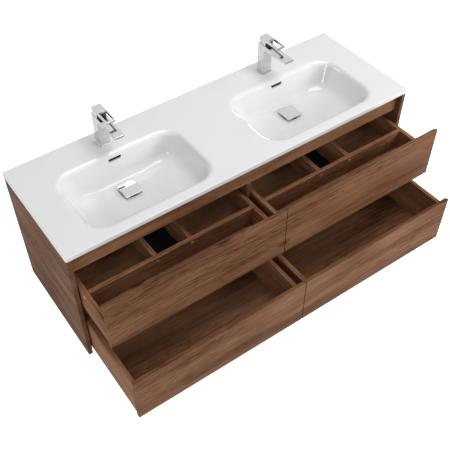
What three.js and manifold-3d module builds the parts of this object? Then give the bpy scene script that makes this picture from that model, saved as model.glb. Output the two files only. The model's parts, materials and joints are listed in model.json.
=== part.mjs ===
// Wall-hung double vanity: carcass, four drawers, basin top, two mixers, two click wastes.
// Millimetres. X runs to the right, the front faces -Y, Z is up.
// The origin is on the wall plane, in the middle of the upper back rail's rear face.
import * as THREE from 'three';
import { mergeVertices } from 'three/addons/utils/BufferGeometryUtils.js';
import Module from 'manifold-3d';

const wasm = await Module();
wasm.setup();

// ---- driving dimensions ----
const topZ = 68;                 // countertop's upper face
const topWidth = 1404;
const topDepth = 465;
const topThickness = 18;
const topCorner = 8;             // radius of the two front corners
const cabinetWidth = 1400;
const cabinetDepth = 461;
const cabinetHeight = 507;       // side panel, below the countertop
const board = 16;                // thickness of every wood board
const gap = 0.3;                 // left between pieces that touch

const railHeight = 82;           // front top rail
const railSetback = 21;          // from the side panels' front edges
const backRailHeight = 100;
const bottomPanel = 4;           // thin board under the drawers
const bottomSetback = 36;        // from the side panels' front edges
const hangerHeight = 60;
const hangerWidth = 14;

const frontHeight = 210;
const frontGap = 3.5;            // each front to a side panel
const middleGap = 3;             // between the left and right fronts
const fingerGap = 40;            // above each front when closed
const frontBevel = 6;            // rise of the top edge towards the outside
const boxLength = 400;           // drawer box, and its runners
const boxClearance = 5;          // box side to cabinet side
const bottomThickness = 8;
const bottomRecess = 13;         // bottom's underside above the box sides' lower edges
const upperOpen = 186;           // how far the drawers stand out at rest
const lowerOpen = 311;
const upperSideTop = 97;         // box sides' upper edge below the front's top
const lowerSideTop = 34;
const sideBottomUp = 12;         // box sides' lower edge above the front's bottom
const trayDepth = 129;           // front tray of an upper drawer
const dividerOffset = 68;        // divider's middle plane from the drawer's

const basinX = 350;              // middle of each basin and mixer
const basinY = -275.5;
const basinWall = 7;
const drainY = -228;
const drainRadius = 21.5;
const drainSeat = topZ - 107;     // flat ring that the waste's flange rests on
const mixerY = -62;
const mixerHalf = 19;            // half the square body's width
const mixerTop = 124;            // body above the countertop
const armHalf = 17.5;            // half the width of the spout and of the lever
const spoutTip = -204;
const leverPivot = 112;          // lift axis above the countertop

const finishes = {
  wood: new THREE.MeshStandardMaterial({ color: 0x7d5a43, roughness: 0.62, metalness: 0 }),
  ceramic: new THREE.MeshStandardMaterial({ color: 0xeeeeee, roughness: 0.12, metalness: 0 }),
  chrome: new THREE.MeshStandardMaterial({ color: 0xd4d6d8, roughness: 0.08, metalness: 1 }),
  steel: new THREE.MeshStandardMaterial({ color: 0xa9abad, roughness: 0.4, metalness: 1 }),
  plastic: new THREE.MeshStandardMaterial({ color: 0x3a3b3d, roughness: 0.5, metalness: 0 }),
};

const vanity = new THREE.Group();

function add(name, geometry, finish, group = vanity) {
  const mesh = new THREE.Mesh(geometry, finishes[finish]);
  mesh.name = name;
  group.add(mesh);
  return mesh;
}

// ---- shapes ----
function box([x0, x1], [y0, y1], [z0, z1]) {
  const shape = new THREE.BoxGeometry(x1 - x0, y1 - y0, z1 - z0);
  return shape.translate((x0 + x1) / 2, (y0 + y1) / 2, (z0 + z1) / 2);
}

function prism(points, depth) {
  const outline = new THREE.Shape(points.map(([u, v]) => new THREE.Vector2(u, v)));
  return new THREE.ExtrudeGeometry(outline, { depth, bevelEnabled: false });
}

// Outline given as [y, z], carried from x0 to x1.
function prismAlongX(points, [x0, x1]) {
  const turn = new THREE.Matrix4().makeBasis(
    new THREE.Vector3(0, 1, 0), new THREE.Vector3(0, 0, 1), new THREE.Vector3(1, 0, 0));
  return prism(points, x1 - x0).applyMatrix4(turn).translate(x0, 0, 0);
}

// Outline given as [x, z], carried from y1 back to y0.
function prismAlongY(points, [y0, y1]) {
  const turn = new THREE.Matrix4().makeBasis(
    new THREE.Vector3(1, 0, 0), new THREE.Vector3(0, 0, 1), new THREE.Vector3(0, -1, 0));
  return prism(points, y1 - y0).applyMatrix4(turn).translate(0, y1, 0);
}

// Outline given as [x, y], carried from z0 up to z1.
function prismAlongZ(points, [z0, z1]) {
  return prism(points, z1 - z0).translate(0, 0, z0);
}

// A turned solid about a vertical axis: profile points are [radius, z].
function turned(profile, segments, x = 0, y = 0) {
  const points = profile.map(([r, z]) => new THREE.Vector2(r, z));
  return new THREE.LatheGeometry(points, segments).rotateX(Math.PI / 2).translate(x, y, 0);
}

function roundedRing(halfX, halfY, radius, steps) {
  const ring = [];
  const corners = [[1, 1, 0], [-1, 1, 1], [-1, -1, 2], [1, -1, 3]];
  for (const [sx, sy, quarter] of corners) {
    for (let i = 0; i <= steps; i++) {
      const angle = (quarter + i / steps) * Math.PI / 2;
      ring.push([
        sx * (halfX - radius) + radius * Math.cos(angle),
        sy * (halfY - radius) + radius * Math.sin(angle)]);
    }
  }
  return ring;
}

// A closed body through rounded rectangles listed from the top down.
function loft(levels, steps, x, y) {
  const positions = [];
  const faces = [];
  const count = 4 * (steps + 1);
  for (const { halfX, halfY, radius, shift, z } of levels) {
    for (const [px, py] of roundedRing(halfX, halfY, radius, steps)) {
      positions.push(x + px, y + shift + py, z);
    }
  }
  for (let row = 0; row < levels.length - 1; row++) {
    for (let i = 0; i < count; i++) {
      const next = (i + 1) % count;
      const a = row * count + i;
      const b = row * count + next;
      faces.push(a, a + count, b, b, a + count, b + count);
    }
  }
  const last = (levels.length - 1) * count;
  for (let i = 1; i < count - 1; i++) {
    faces.push(0, i, i + 1);
    faces.push(last, last + i + 1, last + i);
  }
  const shape = new THREE.BufferGeometry();
  shape.setAttribute('position', new THREE.Float32BufferAttribute(positions, 3));
  shape.setIndex(faces);
  return shape;
}

// ---- joining and cutting ----
function solid(geometry) {
  const bare = geometry.clone();
  bare.deleteAttribute('normal');
  bare.deleteAttribute('uv');
  const merged = mergeVertices(bare, 1e-4);
  return new wasm.Manifold(new wasm.Mesh({
    numProp: 3,
    vertProperties: new Float32Array(merged.attributes.position.array),
    triVerts: new Uint32Array(merged.index.array),
  }));
}

function geometryOf(body) {
  const mesh = body.getMesh();
  const shape = new THREE.BufferGeometry();
  shape.setAttribute('position', new THREE.BufferAttribute(mesh.vertProperties, 3));
  shape.setIndex(new THREE.BufferAttribute(mesh.triVerts, 1));
  return shape;
}

function joined(first, ...others) {
  return geometryOf(others.reduce((body, other) => body.add(solid(other)), solid(first)));
}

function cut(first, ...others) {
  return geometryOf(others.reduce((body, other) => body.subtract(solid(other)), solid(first)));
}

// ---- carcass ----
const sides = [['left', -1], ['right', 1]];
const panelTop = topZ - topThickness - gap;
const panelBottom = topZ - topThickness - cabinetHeight;
const innerX = cabinetWidth / 2 - board;
const railFront = -cabinetDepth + railSetback;

function ordered(a, b) {
  return a < b ? [a, b] : [b, a];
}

function addCarcass() {
  for (const [name, s] of sides) {
    add(`side_panel_${name}`,
      box(ordered(s * innerX, s * cabinetWidth / 2), [-cabinetDepth, 0], [panelBottom, panelTop]),
      'wood');
  }
  const railBottom = panelTop - railHeight;
  const rail = [-innerX + gap, innerX - gap];
  add('front_top_rail', box(rail, [railFront, railFront + board], [railBottom, panelTop]), 'wood');
  const partitionFoot = panelBottom + bottomPanel + gap;
  add('centre_partition', prismAlongX([
    [railFront, partitionFoot], [-board - gap, partitionFoot], [-board - gap, panelTop],
    [railFront + board + gap, panelTop], [railFront + board + gap, railBottom - gap],
    [railFront, railBottom - gap]], [-board / 2, board / 2]), 'wood');
  add('bottom_panel', box(rail, [-cabinetDepth + bottomSetback, -board - gap],
    [panelBottom, panelBottom + bottomPanel]), 'wood');
  const notchWidth = hangerWidth + 8;
  const notchZ = panelTop - 44;
  add('back_rail_upper', prismAlongY([
    [rail[0], panelTop - backRailHeight], [rail[1], panelTop - backRailHeight],
    [rail[1], notchZ], [rail[1] - notchWidth, notchZ], [rail[1] - notchWidth, panelTop],
    [rail[0] + notchWidth, panelTop], [rail[0] + notchWidth, notchZ], [rail[0], notchZ]],
  [-board, 0]), 'wood');
  add('back_rail_lower',
    box(rail, [-board, 0], [panelBottom, panelBottom + backRailHeight]), 'wood');
}

// A housing on the side panel with a hook that reaches through the rail's notch to the wall.
function addHangers() {
  const z = panelTop - 6;
  const hookTop = z - 8;
  for (const [name, s] of sides) {
    add(`wall_hanger_${name}`, prismAlongX([
      [-78, z - hangerHeight], [-board - 2, z - hangerHeight], [-board - 2, hookTop - 8],
      [-4, hookTop - 8], [-4, hookTop - 20], [-1, hookTop - 20], [-1, hookTop],
      [-board - 2, hookTop], [-board - 2, z], [-78, z]],
    ordered(s * (innerX - gap), s * (innerX - gap - hangerWidth))), 'steel');
  }
}

// ---- countertop with two basins ----
function basinLevels(grow) {
  return [
    { halfX: 240, halfY: 152, radius: 76, z: 0 },
    { halfX: 234, halfY: 143, radius: 70, z: -3 },
    { halfX: 229, halfY: 136, radius: 66, z: -12 },
    { halfX: 208, halfY: 123, radius: 60, z: -70 },
    { halfX: 192, halfY: 113, radius: 56, z: -88 },
    { halfX: 160, halfY: 95, radius: 50, z: -98, shift: 10 },
    { halfX: 62, halfY: 50, radius: 32, z: -105, shift: 44 },
  ].map(({ halfX, halfY, radius, z, shift = 0 }) => ({
    halfX: halfX + grow, halfY: halfY + grow, radius: radius + grow, shift, z: topZ + z }));
}

function addCountertop() {
  const w = topWidth / 2;
  const r = topCorner;
  const outline = [[w, 0], [-w, 0], [-w, -topDepth + r]];
  for (let i = 1; i <= 3; i++) {
    const a = i / 3 * Math.PI / 2;
    outline.push([-w + r - r * Math.cos(a), -topDepth + r - r * Math.sin(a)]);
  }
  for (let i = 0; i <= 3; i++) {
    const a = i / 3 * Math.PI / 2;
    outline.push([w - r + r * Math.sin(a), -topDepth + r - r * Math.cos(a)]);
  }
  let body = solid(prismAlongZ(outline, [topZ - topThickness, topZ]));
  for (const [, s] of sides) {
    const shell = basinLevels(basinWall).slice(2);
    shell.unshift({ ...shell[0], z: topZ - topThickness / 2 });
    for (const level of shell.slice(1)) level.z -= basinWall;
    body = body.add(solid(loft(shell, 5, s * basinX, basinY)));
    const levels = basinLevels(0);
    levels.unshift({ ...levels[0], z: topZ + 5 });
    body = body.subtract(solid(loft(levels, 5, s * basinX, basinY)));
    const drain = turned([[0, drainSeat - 30], [drainRadius, drainSeat - 30],
      [drainRadius, drainSeat], [34, drainSeat], [34, drainSeat + 20], [0, drainSeat + 20]],
    24, s * basinX, drainY);
    const overflow = box([s * basinX - 25, s * basinX + 25], [-145, -128],
      [topZ - 26, topZ - 18]);
    const tap = turned([[0, topZ - 40], [17, topZ - 40], [17, topZ + 5], [0, topZ + 5]],
      16, s * basinX, mixerY);
    body = body.subtract(solid(drain)).subtract(solid(tap)).subtract(solid(overflow));
  }
  add('countertop', geometryOf(body), 'ceramic');
}

// ---- drawers ----
function frontProfile(y, bottom) {
  const top = bottom + frontHeight;
  return [[y, bottom], [y + board, bottom], [y + board, top - frontBevel], [y, top]];
}

function addDrawer(label, s, { bottom, open, sideTop, split }) {
  const name = `${label}_drawer`;
  const face = -cabinetDepth - open;
  const back = face + board + gap;
  const rear = back + boxLength;
  const low = bottom + sideBottomUp;
  const high = bottom + frontHeight - sideTop;
  const outer = innerX - boxClearance;
  const inner = board / 2 + boxClearance;
  add(`${name}_front`, prismAlongX(frontProfile(face, bottom),
    ordered(s * middleGap / 2, s * (innerX - frontGap))), 'wood');
  const near = ordered(s * inner, s * (inner + board));
  const far = ordered(s * outer, s * (outer - board));
  const [leftSide, rightSide] = s < 0 ? [far, near] : [near, far];
  add(`${name}_side_left`, box(leftSide, [back, rear], [low, high]), 'wood');
  add(`${name}_side_right`, box(rightSide, [back, rear], [low, high]), 'wood');

  const x0 = leftSide[1] + gap;
  const x1 = rightSide[0] - gap;
  const floor = low + bottomRecess + bottomThickness;
  const floorZ = [floor - bottomThickness, floor];
  const wallZ = [floor + gap, high];
  if (!split) {
    add(`${name}_bottom`, box([x0, x1], [back, rear], floorZ), 'wood');
    add(`${name}_back`, box([x0, x1], [rear - board, rear], wallZ), 'wood');
    return;
  }
  const middle = (x0 + x1) / 2;
  const crossY = back + trayDepth;
  const cutY = crossY + board;
  const c0 = middle - dividerOffset + board / 2;
  const c1 = middle + dividerOffset - board / 2;
  add(`${name}_bottom`, prismAlongZ([
    [x0, back], [x1, back], [x1, rear], [c1, rear], [c1, cutY], [c0, cutY], [c0, rear],
    [x0, rear]], floorZ), 'wood');
  add(`${name}_cross_panel`, box([x0, x1], [crossY, cutY], wallZ), 'wood');
  const behind = [cutY + gap, rear];
  add(`${name}_divider_left`, box([c0 - board, c0], behind, wallZ), 'wood');
  add(`${name}_divider_right`, box([c1, c1 + board], behind, wallZ), 'wood');
  add(`${name}_back_left`, box([x0, c0 - board - gap], [rear - board, rear], wallZ), 'wood');
  add(`${name}_back_right`, box([c1 + board + gap, x1], [rear - board, rear], wallZ), 'wood');
}

// A folded steel rail: screwed to the cabinet side, it passes under the drawer's side and
// carries the drawer's bottom from below.
function addRunner(name, wall, inward, low) {
  const sheet = 1.6;
  const foot = low - 3;
  const carry = low + bottomRecess - 2;
  const at = (u) => wall + inward * u;
  const section = [
    [at(gap), foot - sheet], [at(46), foot - sheet], [at(46), carry], [at(26), carry],
    [at(26), carry - sheet], [at(46 - sheet), carry - sheet], [at(46 - sheet), foot],
    [at(gap + sheet), foot], [at(gap + sheet), low + 34], [at(gap), low + 34]];
  if (inward < 0) section.reverse();
  const closed = -cabinetDepth + board + 6;
  add(name, prismAlongY(section, [closed, closed + boxLength - 6]), 'steel');
}

function addDrawers() {
  const lowerBottom = panelBottom + 7;
  const upperBottom = lowerBottom + frontHeight + fingerGap;
  const rows = [
    ['upper', { bottom: upperBottom, open: upperOpen, sideTop: upperSideTop, split: true }],
    ['lower', { bottom: lowerBottom, open: lowerOpen, sideTop: lowerSideTop, split: false }],
  ];
  for (const [row, values] of rows) {
    for (const [column, s] of sides) {
      const label = `${row}_${column}`;
      addDrawer(label, s, values);
      const low = values.bottom + sideBottomUp;
      const walls = ordered(s * innerX, s * board / 2);
      addRunner(`${label}_runner_left`, walls[0], 1, low);
      addRunner(`${label}_runner_right`, walls[1], -1, low);
    }
  }
}

// ---- mixers ----
// The cartridge is a cup in the body's bore; it swivels, and the lever's stem tilts in it.
function addMixer(name, x) {
  const z = topZ;
  const y = mixerY;
  const plateHalf = 23.5;
  const plateTop = z + 3;
  const boreRadius = 15;
  const boreFloor = z + leverPivot - 16;
  const shankRadius = 8;
  const hole = turned([[0, z - 5], [10, z - 5], [10, z + 10], [0, z + 10]], 16, x, y);
  add(`mixer_base_${name}`, cut(
    box([x - plateHalf, x + plateHalf], [y - plateHalf, y + plateHalf], [z + gap, plateTop]),
    hole), 'chrome');

  const front = y - mixerHalf;
  const column = box([x - mixerHalf, x + mixerHalf], [front, y + mixerHalf],
    [plateTop + gap, z + mixerTop]);
  const spout = prismAlongX([
    [front + 4, z + 102], [front, z + 102], [spoutTip, z + 111], [spoutTip, z + 119],
    [front, z + mixerTop], [front + 4, z + mixerTop]], [x - armHalf, x + armHalf]);
  const shank = turned([[0, z - 34], [shankRadius, z - 34], [shankRadius, plateTop + 1],
    [0, plateTop + 1]], 16, x, y);
  const bore = turned([[0, boreFloor], [boreRadius, boreFloor],
    [boreRadius, z + mixerTop + 6], [0, z + mixerTop + 6]], 20, x, y);
  add(`mixer_body_${name}`,
    geometryOf(solid(joined(column, spout, shank)).subtract(solid(bore))), 'chrome');

  const cupRadius = boreRadius - 0.5;
  const cupWall = 4;
  const cupTop = z + mixerTop - 0.5;
  add(`mixer_cartridge_${name}`, turned([
    [0, boreFloor + 1], [cupRadius, boreFloor + 1], [cupRadius, cupTop],
    [cupRadius - cupWall, cupTop], [cupRadius - cupWall, boreFloor + 8], [0, boreFloor + 8]],
  20, x, y), 'plastic');

  const leverBack = y + 14;
  const leverFront = -154;
  const leverTop = z + 150;
  const arm = prismAlongX([
    [leverBack, z + 133], [-74, z + mixerTop + 0.8], [-84, z + mixerTop + 0.8],
    [-86, z + 141], [leverFront, z + 142], [leverFront, leverTop], [leverBack, leverTop]],
  [x - armHalf, x + armHalf]);
  const window = box([x - armHalf + 5, x + armHalf - 5], [leverFront + 6, -92],
    [z + 120, leverTop + 10]);
  const stemFoot = z + leverPivot - 6;
  const stem = turned([[0, stemFoot], [4, stemFoot], [4, z + 135], [0, z + 135]], 12, x, y);
  add(`mixer_lever_${name}`,
    geometryOf(solid(cut(arm, window)).add(solid(stem))), 'chrome');
}

// ---- click wastes ----
// A flanged tail whose cross bars carry the click cylinder, a nut below, and a square cap
// whose stem slides in that cylinder.
function addWaste(name, x) {
  const seat = drainSeat;
  const tail = 20;
  const tailBore = 17;
  const tailFoot = seat - 60;
  const flange = turned([
    [tailBore, tailFoot], [tail, tailFoot], [tail, seat + gap], [32, seat + gap],
    [32, seat + 2.5], [24, seat + 2.5], [tailBore, seat - 2], [tailBore, tailFoot]],
  32, x, drainY);
  const barHalf = 2.5;
  const barLength = tailBore + 1;
  const barZ = [seat - 34, seat - 31];
  const bars = joined(
    box([x - barLength, x + barLength], [drainY - barHalf, drainY + barHalf], barZ),
    box([x - barHalf, x + barHalf], [drainY - barLength, drainY + barLength], barZ),
    turned([[0, seat - 38], [8, seat - 38], [8, seat - 3], [0, seat - 3]], 16, x, drainY));
  const stemRadius = 4;
  const holeRadius = stemRadius + 0.5;
  const stemHole = turned([[0, seat - 45], [holeRadius, seat - 45], [holeRadius, seat],
    [0, seat]], 16, x, drainY);
  add(`waste_body_${name}`, cut(joined(flange, bars), stemHole), 'chrome');

  const nutRadius = 30;
  const nut = turned([[0, seat - 18], [nutRadius, seat - 18], [nutRadius, seat - 8],
    [0, seat - 8]], 6, x, drainY);
  const thread = turned([[0, seat - 20], [tail + gap, seat - 20], [tail + gap, seat],
    [0, seat]], 32, x, drainY);
  add(`waste_nut_${name}`, cut(nut, thread), 'plastic');

  const capHalf = 33;
  const plate = box([x - capHalf, x + capHalf], [drainY - capHalf, drainY + capHalf],
    [seat + 8, seat + 12]);
  const plug = turned([
    [0, seat - 44], [stemRadius, seat - 44], [stemRadius, seat + 3], [12, seat + 6],
    [12, seat + 9], [0, seat + 9]], 20, x, drainY);
  add(`waste_cap_${name}`, joined(plate, plug), 'chrome');
}

addCarcass();
addHangers();
addCountertop();
addDrawers();
for (const [name, s] of sides) {
  addMixer(name, s * basinX);
  addWaste(name, s * basinX);
}

export default vanity;
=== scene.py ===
# Looks of a wall-hung double vanity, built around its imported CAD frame. Metres, Z up.
import json
import math

import bpy
import numpy as np
from mathutils import Matrix, Vector


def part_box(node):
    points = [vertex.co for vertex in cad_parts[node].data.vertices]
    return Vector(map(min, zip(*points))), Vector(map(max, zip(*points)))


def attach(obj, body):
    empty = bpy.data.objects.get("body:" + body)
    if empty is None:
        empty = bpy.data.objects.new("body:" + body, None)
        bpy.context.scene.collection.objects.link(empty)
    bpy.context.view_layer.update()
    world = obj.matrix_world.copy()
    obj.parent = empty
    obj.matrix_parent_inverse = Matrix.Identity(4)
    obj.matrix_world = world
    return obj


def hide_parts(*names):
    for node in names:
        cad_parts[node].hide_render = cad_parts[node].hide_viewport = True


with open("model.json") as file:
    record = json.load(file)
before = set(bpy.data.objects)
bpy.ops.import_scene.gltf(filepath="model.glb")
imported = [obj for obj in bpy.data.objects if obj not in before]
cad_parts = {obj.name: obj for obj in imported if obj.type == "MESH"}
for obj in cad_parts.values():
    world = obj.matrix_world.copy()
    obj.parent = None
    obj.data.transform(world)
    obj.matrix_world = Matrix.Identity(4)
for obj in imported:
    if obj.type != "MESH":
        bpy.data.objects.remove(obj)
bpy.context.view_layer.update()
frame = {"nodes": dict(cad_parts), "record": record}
record = frame["record"]
bodyOf = {node: body for body, nodes in record["behaviour"]["bodies"].items() for node in nodes}
print("frame loaded:", len(frame["nodes"]), "nodes")

sides = {"left": -1, "right": 1}


# ---- surfaces ----
def newPiece(name, points, faces, normals=None):
    mesh = bpy.data.meshes.new(name)
    mesh.from_pydata(points.tolist(), [], faces)
    mesh.shade_smooth()
    if normals is not None:
        mesh.normals_split_custom_set_from_vertices(normals.tolist())
    piece = bpy.data.objects.new(name, mesh)
    bpy.context.scene.collection.objects.link(piece)
    return piece


def roundedOutline(corners, radii, steps):
    # Every corner becomes an arc that touches both of its sides; each point gets an outward normal.
    corners = np.array(corners, float)
    radii = np.broadcast_to(np.array(radii, float), len(corners))
    after = np.roll(corners, -1, 0)
    if np.sum(corners[:, 0] * after[:, 1] - corners[:, 1] * after[:, 0]) < 0:
        corners, radii = corners[::-1], radii[::-1]
    into = corners - np.roll(corners, 1, 0)
    into /= np.linalg.norm(into, axis=1)[:, None]
    out = np.roll(into, -1, 0)
    turn = np.arctan2(into[:, 0] * out[:, 1] - into[:, 1] * out[:, 0], np.sum(into * out, 1))
    bulge = (np.sign(turn) * radii)[:, None]
    start = corners - into * (radii * np.tan(np.abs(turn) / 2))[:, None]
    right = np.stack([into[:, 1], -into[:, 0]], 1)
    centre = start - right * bulge
    angle = turn[:, None] * np.linspace(0, 1, steps + 1)[None]
    normals = np.stack([
        right[:, :1] * np.cos(angle) - right[:, 1:] * np.sin(angle),
        right[:, :1] * np.sin(angle) + right[:, 1:] * np.cos(angle)], 2)
    points = centre[:, None] + bulge[:, None] * normals
    return points, normals


def inSpace(across, along, axis):
    # Puts outline coordinates and the distance along an axis into x, y, z order.
    u, v = across[..., 0], across[..., 1]
    order = {0: (along, u, v), 1: (u, along, v), 2: (u, v, along)}[axis]
    return np.stack(np.broadcast_arrays(*order), -1)


def ringQuads(rows, count, closed=False):
    # Quads between each ring of points and the next, and back to the first when closed.
    i, j = np.meshgrid(np.arange(rows if closed else rows - 1), np.arange(count), indexing="ij")
    k, n = (j + 1) % count, (i + 1) % rows
    quads = np.stack([i * count + j, i * count + k, n * count + k, n * count + j], -1)
    return quads.reshape(-1, 4)


def carriedShell(corners, axis, low, high, edge, radii=None, steps=3, flare=1):
    # An outline carried along an axis from low to high. Near both ends it draws in by
    # edge * (1 - cos t) while it goes edge * (1 - sin t) inwards, which rounds the end edges.
    points, normals = roundedOutline(corners, 1.5 * edge if radii is None else radii, steps)
    points, normals = points.reshape(-1, 2), normals.reshape(-1, 2)
    t = np.linspace(math.pi / 2, 0, steps + 1)
    t = np.concatenate([t, t[::-1]])
    end = np.repeat([-1, 1], steps + 1)
    draw = flare * edge * (1 - np.cos(t))
    along = np.where(end < 0, low, high) - end * edge * (1 - np.sin(t))
    rows, count = len(t), len(points)
    place = inSpace(points[None] - normals[None] * draw[:, None, None],
                    np.broadcast_to(along[:, None], (rows, count)), axis).reshape(-1, 3)
    facing = inSpace(normals[None] * np.cos(t)[:, None, None],
                     np.broadcast_to((end * np.sin(t))[:, None], (rows, count)), axis)
    faces = [tuple(f) for f in ringQuads(rows, count)]
    ring = np.arange(count)
    faces += [tuple(ring[::-1]), tuple(ring + (rows - 1) * count)]
    if axis == 1:
        faces = [f[::-1] for f in faces]
    return place, faces, facing.reshape(-1, 3)


def turnedShell(profile, centre, corner, segments=48, axis=2):
    # A closed profile of (radius, height), turned about an axis through centre. A profile that
    # begins and ends on the axis keeps those two points as poles.
    onAxis = profile[0][0] == 0
    radii = [0 if r == 0 else corner for r, _ in profile]
    points, normals = roundedOutline(profile, radii, 3)
    if points[0, 0, 0] > 1e-9 and onAxis:
        points, normals = np.roll(points, 1, 0), np.roll(normals, 1, 0)
    points, normals = points.reshape(-1, 2), normals.reshape(-1, 2)
    if onAxis:
        off = points[:, 0] > 1e-9
        first, last = np.argmax(off), len(off) - 1 - np.argmax(off[::-1])
        points, normals = points[first - 1:last + 2], normals[first - 1:last + 2]
    angle = np.linspace(0, 2 * math.pi, segments, endpoint=False)
    spin = np.stack([np.cos(angle), np.sin(angle)], -1)
    rows = len(points)
    across = points[:, None, :1] * spin[None]
    facing = inSpace(normals[:, None, :1] * spin[None],
                     np.broadcast_to(normals[:, None, 1], across.shape[:2]), axis)
    place = inSpace(across, np.broadcast_to(points[:, None, 1], across.shape[:2]), axis)
    place = place + np.array(centre)
    quads = ringQuads(rows, segments, closed=not onAxis)
    if onAxis:
        quads = np.where(quads < segments, 0, quads)
        quads = np.where(quads >= (rows - 1) * segments, (rows - 1) * segments, quads)
    faces = [tuple(dict.fromkeys(f)) for f in quads.tolist()]
    if axis == 1:
        faces = [f[::-1] for f in faces]
    return place.reshape(-1, 3), faces, facing.reshape(-1, 3)


def withoutUnused(points, faces):
    # Which points some face uses, and the faces renumbered for those points alone.
    used = np.zeros(len(points), bool)
    used[np.concatenate([np.array(f) for f in faces])] = True
    renumber = np.cumsum(used) - 1
    return used, [tuple(int(renumber[v]) for v in f) for f in faces]


def joinedShells(name, *shells):
    points, faces, normals, start = [], [], [], 0
    for place, some, facing in shells:
        points.append(place)
        normals.append(facing)
        faces += [tuple(v + start for v in f) for f in some]
        start += len(place)
    points, normals = np.concatenate(points), np.concatenate(normals)
    used, faces = withoutUnused(points, faces)
    return newPiece(name, points[used], faces, normals[used])


def rectangle(u, v):
    return [(u[0], v[0]), (u[1], v[0]), (u[1], v[1]), (u[0], v[1])]


def disc(radius, low, high):
    # Profile of a plain solid disc for turnedShell.
    return [(0, low), (radius, low), (radius, high), (0, high)]


def span(node, axis):
    low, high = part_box(node)
    return low[axis], high[axis]


def middle(node):
    low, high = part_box(node)
    return (low + high) / 2


def finished(piece, body, material, slot, *nodes):
    piece.data.materials.clear()
    piece.data.materials.append(material)
    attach(piece, body)
    if nodes:
        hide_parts(*nodes)


def standsFor(piece, node, material, slot):
    finished(piece, bodyOf[node], material, slot, node)


# ---- shader building ----
def newNode(tree, kind, inputs=None, **settings):
    node = tree.nodes.new(kind)
    for key, value in settings.items():
        setattr(node, key, value)
    for socket, value in (inputs or {}).items():
        if isinstance(value, bpy.types.NodeSocket):
            tree.links.new(value, node.inputs[socket])
        else:
            node.inputs[socket].default_value = value
    return node


def maths(tree, operation, a, b=0.0, clamp=False):
    return newNode(tree, "ShaderNodeMath", {0: a, 1: b}, operation=operation,
                   use_clamp=clamp).outputs[0]


def scaled(tree, vector, factors):
    return newNode(tree, "ShaderNodeVectorMath", {0: vector, 1: factors},
                   operation="MULTIPLY").outputs[0]


def noiseOf(tree, vector, scale=1.0, detail=2.0, roughness=0.5):
    return newNode(tree, "ShaderNodeTexNoise", {
        "Vector": vector, "Scale": scale, "Detail": detail, "Roughness": roughness})


def ramp(tree, factor, stops):
    node = newNode(tree, "ShaderNodeValToRGB", {0: factor})
    elements = node.color_ramp.elements
    while len(elements) < len(stops):
        elements.new(0.5)
    for element, (place, colour) in zip(elements, stops):
        element.position = place
        element.color = (*colour, 1) if len(colour) == 3 else colour
    return node.outputs[0]


def between(tree, value, low, high, outLow=0.0, outHigh=1.0):
    return newNode(tree, "ShaderNodeMapRange", {
        0: value, 1: low, 2: high, 3: outLow, 4: outHigh},
        interpolation_type="SMOOTHSTEP").outputs[0]


def newGroup(name, inputs, outputs):
    group = bpy.data.node_groups.new(name, "ShaderNodeTree")
    for label, kind, value in inputs:
        socket = group.interface.new_socket(label, in_out="INPUT", socket_type=kind)
        if value is not None:
            socket.default_value = value
    for label, kind in outputs:
        group.interface.new_socket(label, in_out="OUTPUT", socket_type=kind)
    return group, group.nodes.new("NodeGroupInput").outputs, group.nodes.new("NodeGroupOutput")


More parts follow.
